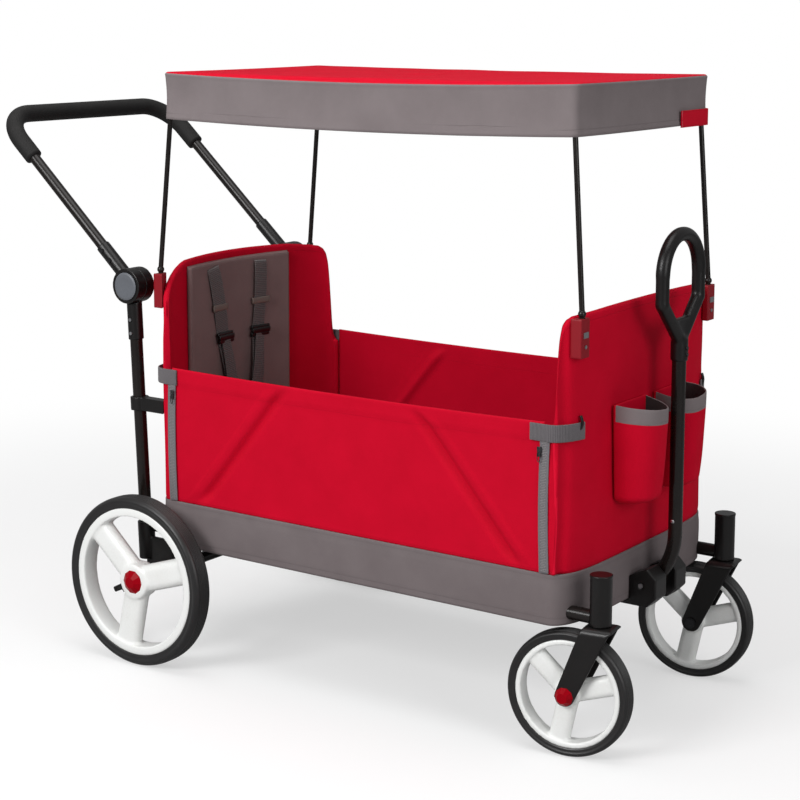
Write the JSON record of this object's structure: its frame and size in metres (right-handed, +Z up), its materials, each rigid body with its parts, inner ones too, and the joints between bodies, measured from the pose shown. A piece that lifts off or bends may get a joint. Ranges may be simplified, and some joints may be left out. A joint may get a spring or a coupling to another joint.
{
  "type": "stroller wagon",
  "caption": "Fabric-sided stroller wagon with swivel casters, large rear wheels, folding push handle, loop-grip pull handle, zip-off sides, facing seat pads and a lift-off canopy.",
  "frame": {"origin": "on the ground at the middle of the part's length and width", "axes": "+X to the front with the pull handle, +Y to the left, +Z up"},
  "size_m": [1.3254, 0.646, 1.03],
  "materials": {
    "black_tube": "satin black powder coat",
    "black_plastic": "fine-grained moulded plastic",
    "red_fabric": "woven polyester",
    "grey_fabric": "woven polyester",
    "pad_fabric": "quilted polyester",
    "webbing": "flat woven webbing",
    "foam": "closed-cell foam",
    "tyre": "matt",
    "rim": "smooth off-white plastic",
    "red_plastic": "smooth",
    "grey_plastic": "fine grain",
    "steel": "plated",
    "black_steel": "black oxide"
  },
  "bodies": {
    "chassis": {"floor_rails": "black_tube", "floor_cross_tubes": "black_tube", "floor_board": "black_plastic", "floor_mat": "pad_fabric", "base_band": "grey_fabric", "front_wall": "red_fabric", "rear_wall": "red_fabric", "front_pad": "pad_fabric", "rear_pad": "pad_fabric", "harness_webbing": "webbing", "harness_hardware": "black_plastic", "pockets": "red_fabric", "pole_sockets": "red_plastic", "stem_housings": "black_plastic", "rear_brackets": "black_plastic", "rear_axle": "black_tube", "uprights": "black_tube", "upright_clamps": "black_plastic", "knuckle_bases": "black_plastic", "pull_bracket": "black_plastic", "frame_fasteners": "steel"},
    "push_handle": {"push_bar": "black_tube", "push_grip": "foam", "knuckle_arms": "black_plastic", "push_handle_screws": "steel"},
    "right_button": {"right_knuckle_button": "grey_plastic"},
    "left_button": {"left_knuckle_button": "grey_plastic"},
    "pull_handle": {"pull_tube": "black_tube", "pull_grip": "black_plastic", "pull_grip_screws": "steel"},
    "canopy": {"canopy_cover": "red_fabric", "canopy_frame": "black_tube", "front_poles": "black_tube", "rear_poles": "black_tube"},
    "right_caster": {"right_fork": "black_plastic", "right_wheel_bolt": "black_steel", "right_front_cap": "red_plastic"},
    "right_front_wheel": {"right_front_tyre": "tyre", "right_front_rim": "rim"},
    "right_rear_wheel": {"right_rear_tyre": "tyre", "right_rear_rim": "rim", "right_hub_cap": "red_plastic"},
    "right_side": {"right_side_panel": "red_fabric", "right_corner_straps": "grey_fabric"},
    "right_front_zip": {"right_front_zip_slider": "steel"},
    "right_rear_zip": {"right_rear_zip_slider": "steel"},
    "right_brake": {"right_brake_pedal": "black_plastic"},
    "left_caster": {"left_fork": "black_plastic", "left_wheel_bolt": "black_steel", "left_front_cap": "red_plastic"},
    "left_front_wheel": {"left_front_tyre": "tyre", "left_front_rim": "rim"},
    "left_rear_wheel": {"left_rear_tyre": "tyre", "left_rear_rim": "rim", "left_hub_cap": "red_plastic"},
    "left_side": {"left_side_panel": "red_fabric", "left_corner_straps": "grey_fabric"},
    "left_front_zip": {"left_front_zip_slider": "steel"},
    "left_rear_zip": {"left_rear_zip_slider": "steel"},
    "left_brake": {"left_brake_pedal": "black_plastic"}
  },
  "joints": [
    {"name": "push_handle_fold", "type": "hinge", "parent": "chassis", "child": "push_handle", "pos_m": [-0.3272, 0, 0.655], "axis": [0, 1, 0], "range_deg": [-75, 47]},
    {"name": "right_button_press", "type": "slide", "parent": "push_handle", "child": "right_button", "axis": [0, 1, 0], "range_m": [0, 0.003], "stiffness_N_per_m": 600},
    {"name": "left_button_press", "type": "slide", "parent": "push_handle", "child": "left_button", "axis": [0, -1, 0], "range_m": [0, 0.003], "stiffness_N_per_m": 600},
    {"name": "pull_handle_swing", "type": "hinge", "parent": "chassis", "child": "pull_handle", "pos_m": [0.5918, 0, 0.23], "axis": [0, 1, 0], "range_deg": [-4, 85]},
    {"name": "right_caster_swivel", "type": "hinge", "parent": "chassis", "child": "right_caster", "pos_m": [0.6098, -0.216, 0.213], "axis": [0, 0, 1], "continuous": true},
    {"name": "right_front_wheel_spin", "type": "hinge", "parent": "right_caster", "child": "right_front_wheel", "pos_m": [0.56227, -0.22268, 0.1], "axis": [-0.1392, 0.9903, 0], "continuous": true},
    {"name": "right_rear_wheel_spin", "type": "hinge", "parent": "chassis", "child": "right_rear_wheel", "pos_m": [-0.2572, -0.298, 0.15], "axis": [0, 1, 0], "continuous": true},
    {"name": "right_side_drop", "type": "hinge", "parent": "chassis", "child": "right_side", "pos_m": [0.1508, -0.246, 0.2863], "axis": [1, 0, 0], "range_deg": [0, 60]},
    {"name": "right_front_zip_slide", "type": "slide", "parent": "right_side", "child": "right_front_zip", "axis": [0, 0, -1], "range_m": [0, 0.15]},
    {"name": "right_rear_zip_slide", "type": "slide", "parent": "right_side", "child": "right_rear_zip", "axis": [0, 0, -1], "range_m": [0, 0.15]},
    {"name": "right_brake_press", "type": "hinge", "parent": "chassis", "child": "right_brake", "pos_m": [-0.2572, -0.252, 0.15], "axis": [0, 1, 0], "range_deg": [-22, 0]},
    {"name": "left_caster_swivel", "type": "hinge", "parent": "chassis", "child": "left_caster", "pos_m": [0.6098, 0.216, 0.213], "axis": [0, 0, 1], "continuous": true},
    {"name": "left_front_wheel_spin", "type": "hinge", "parent": "left_caster", "child": "left_front_wheel", "pos_m": [0.56227, 0.20932, 0.1], "axis": [-0.1392, 0.9903, 0], "continuous": true},
    {"name": "left_rear_wheel_spin", "type": "hinge", "parent": "chassis", "child": "left_rear_wheel", "pos_m": [-0.2572, 0.298, 0.15], "axis": [0, 1, 0], "continuous": true},
    {"name": "left_side_drop", "type": "hinge", "parent": "chassis", "child": "left_side", "pos_m": [0.1508, 0.246, 0.2863], "axis": [-1, 0, 0], "range_deg": [0, 60]},
    {"name": "left_front_zip_slide", "type": "slide", "parent": "left_side", "child": "left_front_zip", "axis": [0, 0, -1], "range_m": [0, 0.15]},
    {"name": "left_rear_zip_slide", "type": "slide", "parent": "left_side", "child": "left_rear_zip", "axis": [0, 0, -1], "range_m": [0, 0.15]},
    {"name": "left_brake_press", "type": "hinge", "parent": "chassis", "child": "left_brake", "pos_m": [-0.2572, 0.252, 0.15], "axis": [0, 1, 0], "range_deg": [-22, 0]},
    {"name": "canopy_lift", "type": "slide", "parent": "chassis", "child": "canopy", "axis": [0, 0, 1], "range_m": [0, 0.12]}
  ]
}
